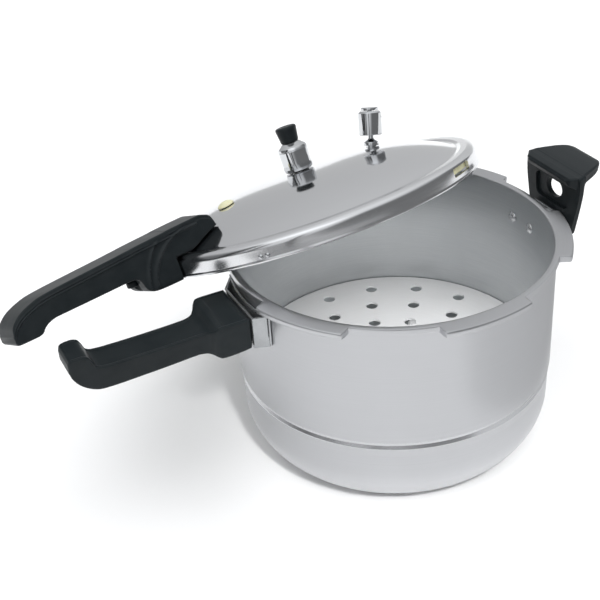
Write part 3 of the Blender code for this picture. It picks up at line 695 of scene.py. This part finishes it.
def build_lid():
    profile, on_lug = lid_profile()
    gap_r = LID_R - SHELL_T - 0.35

    def bend(i, r, z, a):
        return gap_r + (r - gap_r) * lug_share(a, LID_LUG_DEG, LID_LUG_EASE) if on_lug[i] else r

    a = math.radians(WINDOW_DEG)
    out, side = Vector((math.cos(a), math.sin(a), 0)), Vector((-math.sin(a), math.cos(a), 0))
    half = LID_R * math.sin(math.radians(WINDOW_SPAN / 2))
    tall = (WINDOW_Z[1] - WINDOW_Z[0]) / 2
    loop = rounded([(-half, -tall, 1.4), (half, -tall, 1.4), (half, tall, 1.4), (-half, tall, 1.4)], 5,
                   closed=True)
    window = prism(loop, out * (LID_R - SHELL_T - 1.6) + Vector((0, 0, sum(WINDOW_Z) / 2)), out, side, 8)
    holes = [prism(circle(4.9, 32), (0, 0, 20), (0, 0, 1), (1, 0, 0), 25)]
    for ring, deg, radius, lean in ((VALVE_R, VALVE_DEG, 4.4, VALVE_LEAN), (PLUG_R, PLUG_DEG, 4.6, 0.0)):
        m = LID.inverted() @ dome_place(ring, deg, lean)
        at, up = m.translation / MM, m.col[2].xyz
        holes.append(prism(circle(radius, 32), at - up * 10, up, m.col[0].xyz, 20))
    holes += [prism(circle(BOLT_HOLE_R, 24), (-x, 0, 5), (0, 0, 1), (1, 0, 0), 40) for x in SCREW_X]
    shape = turned(profile, lug_angles(LID_LUG_DEG, LID_LUG_EASE, 240), bend=bend)
    # Outside 128.5 mm the lid takes the edge material with its painted light.
    piece("lid_dome", shape, (LID_SKIN, LID_EDGE_POLISH_PAINTED_LIGHT), "lid", ("lid_shell",), LID,
          cutters=(window, join(holes)), sharp=40, pick=lambda c, n: int(math.hypot(c.x, c.y) > 128.5))
    seal = rounded([(126.6, 12.6, 0.6), (131.4, 12.6, 0.6), (133.6, 11.4, 0.8), (134.3, 9.6, 0.6),
                    (134.3, 6.2, 0.3), (133.2, 5.8, 0.3), (131.4, 8.6, 0.8), (125.6, 8.6, 0.8),
                    (123.4, 7.6, 0.4), (121.8, 8.4, 0.5), (121.8, 11.0, 0.8)], 3, closed=True)
    piece("seal_gasket", turned(seal, 180, closed=True), CREAM, "seal", ("seal_ring",), LID)


def lid_grip_stations():
    """Stations of the lid handle: x, half widths, lowest and highest point."""
    half, out = 13.4, []
    tops = ((96.0, 27.6), (99.9, 35.0), (103.5, 36.6), (108.0, 37.9))
    for x, top in tops:
        out.append((x, half - (0.8 if x == 96.0 else 0.0), half, dome_z(x) + 0.5, top))
    for x in (112.0, 118.0, 124.0):
        out.append((x, half, half, max(dome_z(x), RING_Z) + 0.5, 38.3 - 0.02 * (x - 96)))
    out += [(137.9, half, half, RING_Z + 0.5, 37.3), (138.0, half, half, -0.8, 37.2)]
    tail = ((141.5, -0.8, 37.0), (150.0, -0.7, 36.7), (158.0, -0.3, 36.4), (163.0, 0.6, 36.2),
            (166.5, 2.6, 36.0), (168.6, 5.6, 35.9), (169.6, 9.0, 35.8), (171.0, 12.4, 35.7),
            (174.0, 14.0, 35.6), (182.0, 14.5, 35.2), (210.0, 14.3, 34.0), (238.0, 14.2, 32.6),
            (244.5, 13.0, 32.0), (249.0, 10.6, 31.2), (252.0, 7.8, 30.4), (256.0, 7.0, 29.2),
            (262.0, 7.0, 26.8), (267.5, 7.1, 23.0), (270.8, 7.4, 19.0), (272.2, 8.4, 14.6))
    return out + [(x, half, half, low, high) for x, low, high in tail]


def bell(d, width):
    return math.exp(-(d / width) ** 2)


def lid_grip_relief(x, y, z, row):
    """Rounded ribs on the sides of the lid handle's root and a raised line along its top edge."""
    half, low, high = row[0], row[2], row[3]
    if x < 97.0:
        return 0.0, 0.0
    on_side = smooth_step(half - 1.6, half - 0.8, abs(y))
    outer = (math.hypot(max(x - 120.0, 0.0) / 45.0, max(z, 0.0) / 43.0) - 1) * 44
    inner = (math.hypot(max(x - 110.0, 0.0) / 50.0, max(z, 0.0) / 36.5) - 1) * 43
    fade = smooth_step(low, low + 3.0, z) * (1 - smooth_step(high - 3.6, high - 2.2, z))
    rib, rib_width, step = 1.5, 1.1, 0.6
    out = fade * (rib * bell(outer, rib_width) + rib * bell(inner, rib_width)
                  + step * (1 - smooth_step(-1.0, 1.0, inner)))
    if x > 112.0 and high - low > 10:
        out += 1.0 * bell(high - z - 4.8, 0.8) - 0.6 * bell(high - z - 3.0, 0.8)
    return out * on_side, 0.0


def pot_grip_relief(x, y, z, row):
    """Raised rims along the top edges of the long handle and the end of its block."""
    half, high = row[0], row[3]
    if z < high - 2.0:
        return 0.0, 0.0
    rim = smooth_step(half - 2.8, half - 1.8, abs(y))
    rim = max(rim, bell(x - 131.6, 1.0), bell(x - 149.6, 1.0), smooth_step(254.5, 256.0, x))
    return 0.0, 0.8 * rim - 0.4


def helper_relief(x, y, z, row):
    """Panel with straight sides that flare out below the ledge."""
    top_half, low_half, low, high = row
    if high - low < 20:
        return 0.0, 0.0
    t = min(max((z - low) / (high - low), 0.0), 1.0)
    side = smooth_step(0.5 * low_half, low_half, abs(y))
    return side * (top_half - low_half) * (t ** 5 - t), 0.0


def build_lid_handle():
    holes = [prism(circle(BOLT_HOLE_R, 24), (-x, 0, dome_z(x) - 8), (0, 0, 1), (1, 0, 0), 16)
             for x in SCREW_X]
    holes.append(prism(circle(3.4, 28), (-STOP_X, 0, 5), (0, 0, 1), (1, 0, 0), 16))
    notch = prism(circle(5.4, 36), (-STOP_X, 0, -4), (0, 0, 1), (1, 0, 0), 18.4)
    shape = grip(lid_grip_stations(), -1, 1.2, 1.3, 1.4, 38, relief=lid_grip_relief, cap=0.8)
    piece("lid_grip", shape, BLACK, "lid", ("lid_handle",), LID, cutters=(join(holes), notch),
          sharp=40)
    stop = rounded([(0, 20, 0), (3.0, 20, 0.2), (3.0, 12.6, 0), (4.4, 11.4, 0.8), (4.4, 8.2, 0.8),
                    (3.4, 7.6, 0.6), (0, 7.6, 0)], 4)
    place = LID @ Matrix.Translation(Vector((-STOP_X, 0, 0)) * MM)
    piece("stop_button", turned(stop, 40), BLACK, "lid", ("handle_stop",), place)


# Profiles of (r, z, corner radius) above the foot of each piece
VENT = ((3.0, 15, 0.2), (3.8, 14, 0.3), (3.8, 3, 0.6), (7.5, 2.4, 0.5), (7.5, 0.2, 0.2), (4.5, 0.2, 0.1),
        (4.5, -12, 0.3), (1.2, -12, 0.2), (1.2, 15, 0.2))
DRUM = ((0, 23.6, 0), (2.6, 23.6, 0.1), (2.6, 22.6, 0.1), (7.0, 22.6, 0.5), (8.4, 21.4, 1.2),
        (11.2, 19.2, 1.6), (12.0, 17.2, 0.8), (11.7, 16.6, 0.2), (11.8, 16.2, 0.2), (11.6, 2.6, 0.8),
        (11.2, 0.6, 0.6), (10.4, 0, 0.4), (8.2, 0, 0.3), (8.2, 3.2, 0.3), (4.6, 4.6, 0.3), (4.6, 16, 0.3),
        (1.6, 17.6, 0.3), (0, 17.6, 0))
KNOB = ((0, 35.3, 0), (3.0, 35.4, 1.5), (6.6, 35.7, 0.6), (8.1, 35.1, 0.7), (8.5, 33.8, 0.6),
        (8.1, 31.0, 2.0), (7.2, 24.0, 1.0), (6.8, 22.9, 0.3), (2.9, 22.9, 0.1), (2.9, 23.9, 0.1),
        (0, 23.9, 0))
STEM = ((1.6, 22.0, 0.2), (2.2, 21.4, 0.2), (2.2, 6.6, 0.6), (3.0, 5.6, 0.6), (6.0, 3.8, 0.6),
        (6.2, 1.2, 0.3), (4.0, 1.2, 0.1), (4.0, -9.0, 0.3), (1.0, -9.0, 0.1), (1.0, 22.0, 0.1))
HOOD = ((2.2, 28.4, 0.2), (8.0, 28.4, 0.5), (9.3, 26.8, 0.6), (9.3, 9.8, 0.4), (8.9, 9.4, 0.2),
        (4.2, 9.4, 0.3), (4.2, 11.4, 0.3), (6.6, 13.0, 0.3), (6.6, 25.4, 0.3), (2.2, 25.4, 0.2))
DISC = ((0.8, 31.4, 0.1), (6.2, 31.4, 0.5), (7.0, 30.6, 0.4), (7.0, 28.8, 0.2), (1.8, 28.8, 0.1),
        (1.8, 24.0, 0.1), (0.8, 24.0, 0.1))
PLUG = ((0, 3.7, 0), (3.2, 3.5, 2.0), (5.8, 2.2, 1.2), (6.8, 0.9, 0.4), (6.6, 0.35, 0.2), (4.2, 0.3, 0.2),
        (4.2, -3.2, 0.3), (6.0, -3.6, 0.3), (5.6, -4.8, 0.6), (4.2, -6.0, 0.8), (0, -6.2, 0))
PIN = ((0, 1.1, 0), (1.3, 1.0, 0.8), (2.0, 0.2, 0.4), (2.0, -0.6, 0), (0, -0.6, 0))
# angle, height and radius of the hood's ports
PORTS = ((150, 23.5, 0.9), (165, 17.0, 0.9), (330, 23.5, 0.9))


def tube(profile, angles):
    """Hollow turned shape from a closed profile."""
    return turned(rounded(profile, 4, closed=True), angles, closed=True)


def build_fittings():
    vent = tube([(r, z + CROWN_Z, q) for r, z, q in VENT], 48)
    piece("vent_tube", vent, FASTENER, "lid", ("vent_pipe",), LID)
    foot = CROWN_Z + 0.7
    drum = rounded([(r, z + foot, q) for r, z, q in DRUM], 5)
    piece("weight_drum", turned(drum, 96), CHROME, "weight", ("weight_body",), LID, sharp=50)
    knob = rounded([(r, z + foot, q) for r, z, q in KNOB], 5)
    piece("weight_cap", turned(knob, 72), BLACK, "weight", ("weight_knob",), LID, sharp=50)
    spot = dome_place(VALVE_R, VALVE_DEG, VALVE_LEAN)
    piece("valve_stem", tube(STEM, 48), CHROME, "lid", ("valve_seat",), spot)
    ports = []
    for deg, z, r in PORTS:
        x, y = math.cos(math.radians(deg)), math.sin(math.radians(deg))
        ports.append(prism(circle(r, 16), (7.4 * x, 7.4 * y, z), (x, y, 0), (-y, x, 0), 3))
    piece("valve_hood", tube(HOOD, 96), CHROME, "valve", ("valve_cap",), spot,
          cutters=(join(ports),), sharp=50)
    piece("valve_disc", tube(DISC, 72), CHROME, "valve", ("valve_top",), spot, sharp=50)
    piece("plug_button", turned(rounded(PLUG, 4), 48), CREAM, "lid", ("relief_plug",),
          dome_place(PLUG_R, PLUG_DEG))
    for i, deg in enumerate(PIN_DEG):
        a = math.radians(deg)
        at = Matrix.Translation(Vector((LID_R * math.cos(a), LID_R * math.sin(a), PIN_Z)) * MM)
        place = LID @ at @ Matrix.Rotation(a, 4, "Z") @ Matrix.Rotation(math.pi / 2, 4, "Y")
        piece("skirt_pin_%d" % (i + 1), turned(rounded(PIN, 4), 24), CHROME, "lid", (), place)


def keep_cad_nodes():
    """CAD nodes that stay get the fine materials."""
    for name in ("pot_bracket_bolt", "helper_bracket_bolt", "lid_handle_screw_1", "lid_handle_screw_2",
                 "vent_nut", "valve_nut"):
        assign(NODES[name], FASTENER)
    for i in range(3):
        assign(NODES["plate_leg_%d" % (i + 1)], PLATE_SKIN)


def assign(obj, mat):
    for slot in obj.material_slots:
        slot.material = mat


# ---------------------------------------------------------------- stage

def card(name, size, location, aim, low, high, side=0.0):
    """Panel that only shows in reflections: low at its foot, high at its top, side added to the right."""
    w, h = size[0] / 2, size[1] / 2
    mesh = bpy.data.meshes.new(name)
    mesh.from_pydata([(-w, -h, 0), (w, -h, 0), (w, h, 0), (-w, h, 0)], [], [(0, 1, 2, 3)])
    obj = bpy.data.objects.new(name, mesh)
    SCENE.collection.objects.link(obj)
    mat = bpy.data.materials.new(name)
    mat.use_nodes = True
    tree = mat.node_tree
    tree.nodes.clear()
    glow, out = tree.nodes.new("ShaderNodeEmission"), tree.nodes.new("ShaderNodeOutputMaterial")
    split = node(tree, "ShaderNodeSeparateXYZ")
    link(tree, node(tree, "ShaderNodeTexCoord"), "Object", split, 0)
    level = spread(tree, split.outputs[1], low, high, -h, h, SMOOTH)
    if side:
        level = math_node(tree, "ADD", level, spread(tree, split.outputs[0], 0.0, side, -w, w, SMOOTH))
    tree.links.new(level, glow.inputs[1])
    glow.inputs[0].default_value = (0.98, 0.99, 1.0, 1.0)
    tree.links.new(glow.outputs[0], out.inputs[0])
    mesh.materials.append(mat)
    obj.location = location
    back = (Vector(aim) - Vector(location)).normalized()
    right = Vector((0, 0, 1)).cross(back).normalized()
    obj.rotation_euler = Matrix((right, back.cross(right), back)).transposed().to_euler()
    hide_but_gloss(obj)


def hide_but_gloss(obj):
    obj.visible_camera = obj.visible_diffuse = obj.visible_shadow = obj.visible_transmission = False


SMOOTH = "SMOOTHSTEP"
SKY_BASE = 0.20
SKY_LOBES = (
    # direction, cosine where the lobe starts, cosine where it is full, strength
    ((0.0, 0.25, 1.0), 0.40, 0.88, 0.75),
    ((-0.60, -0.45, 0.62), 0.70, 0.97, 0.70),
)


SUNS = (
    # name, strength, angle in degrees, direction
    ("key", 1.15, 60, (0.1, 0.55, -1.5)),
    ("fill", 0.85, 80, (-0.5, 0.3, -1.4)),
)
SPOT_POWER, SPOT_ANGLE, SPOT_RADIUS = 47.0, 18.0, 0.06
SPOT_FROM, SPOT_TO = (-0.20, -0.66, 0.72), (-0.02, -0.03, 0.065)
CARDS = (
    # name, width and height, place, point it faces, glow at the foot, at the top, added to the right
    ("card_back", (3.4, 2.4), (0.35, 1.05, 1.04), (0.1, 0.0, 0.49), 0.50, 0.74, 0.16),
    ("flag_right", (0.34, 0.18), (0.138, -0.098, 0.092), (0.0, 0.0, 0.092), 0.48, 0.48, 0.45),
    ("card_front", (2.6, 2.4), (-0.3, -1.62, 0.31), (-0.3, -1.2, 1.8), 0.32, 0.72),
    ("flag_left", (0.30, 1.1), (-1.25, 0.05, 0.62), (0.0, 0.0, 0.25), 0.05, 0.05),
    ("flag_side", (0.16, 0.7), (-1.24, -0.40, 0.60), (0.0, 0.0, 0.25), 0.06, 0.06),
    ("flag_front", (0.14, 0.8), (-0.95, -1.05, 0.62), (0.0, 0.0, 0.25), 0.06, 0.06),
)


def build_world():
    """Studio surround: pale to the camera; grey in reflections, with soft light from above and front left."""
    world = bpy.data.worlds.new("studio")
    SCENE.world = world
    world.use_nodes = True
    tree = world.node_tree
    back = tree.nodes["Background"]
    back.inputs[0].default_value = (0.97, 0.985, 1.0, 1.0)
    coord = node(tree, "ShaderNodeTexCoord")
    total = None
    for way, start, full, strength in SKY_LOBES:
        dot = node(tree, "ShaderNodeVectorMath", operation="DOT_PRODUCT")
        link(tree, coord, "Generated", dot, 0)
        dot.inputs[1].default_value = Vector(way).normalized()
        lobe = spread(tree, dot.outputs["Value"], 0.0, strength, start, full, SMOOTH)
        total = math_node(tree, "ADD", lobe, SKY_BASE if total is None else total)
    seen = node(tree, "ShaderNodeLightPath").outputs["Is Camera Ray"]
    tree.links.new(math_node(tree, "MAXIMUM", total, seen), back.inputs[1])


def build_stage():
    mesh = bpy.data.meshes.new("floor")
    mesh.from_pydata([(-9, -9, 0), (9, -9, 0), (9, 9, 0), (-9, 9, 0)], [], [(0, 1, 2, 3)])
    floor = bpy.data.objects.new("floor", mesh)
    SCENE.collection.objects.link(floor)
    mat, tree, shader = new_material("floor_pale", 0.0)
    soft = noise(tree, plain_coords(tree, (3, 3, 3)), 2.0, 0.5)
    tree.links.new(tint(tree, soft, (0.91, 0.91, 0.91), (0.94, 0.94, 0.94)), shader.inputs["Base Color"])
    shader.inputs["Roughness"].default_value = 0.9
    shader.inputs["Specular IOR Level"].default_value = 0.1
    mesh.materials.append(mat)
    floor.location.z = -0.0005
    build_world()
    for name, energy, angle, aim in SUNS:
        lamp = bpy.data.lights.new(name, "SUN")
        lamp.energy, lamp.angle = energy, math.radians(angle)
        add_lamp(lamp, (0, 0, 0), Vector(aim))
    lamp = bpy.data.lights.new("inside", "SPOT")
    lamp.energy, lamp.spot_size = SPOT_POWER, math.radians(SPOT_ANGLE)
    lamp.spot_blend, lamp.shadow_soft_size = 1.0, SPOT_RADIUS
    add_lamp(lamp, SPOT_FROM, Vector(SPOT_TO) - Vector(SPOT_FROM))
    for row in CARDS:
        card(*row)


def add_lamp(lamp, location, aim):
    """Puts a light in the scene.  It doesn't show in reflections."""
    obj = bpy.data.objects.new(lamp.name, lamp)
    SCENE.collection.objects.link(obj)
    obj.location = location
    obj.rotation_euler = aim.to_track_quat("-Z", "Y").to_euler()
    obj.visible_glossy = False


LENS, SHIFT = 69.76, (-0.05, 0.0333)
EYE, EYE_TURN = (-0.3813, -0.6596, 0.6043), (56.425, 2.588, -27.995)


def build_camera():
    data = bpy.data.cameras.new("camera")
    data.lens, data.sensor_width = LENS, 36.0
    data.shift_x, data.shift_y = SHIFT
    data.clip_start, data.clip_end = 0.05, 50.0
    cam = bpy.data.objects.new("camera", data)
    SCENE.collection.objects.link(cam)
    cam.location = EYE
    cam.rotation_euler = [math.radians(v) for v in EYE_TURN]
    SCENE.camera = cam


build_camera()
build_pot()
build_brackets()
build_handles()
build_plate()
build_lid()
build_lid_handle()
build_fittings()
keep_cad_nodes()
build_stage()
SCENE.view_settings.view_transform = "Standard"
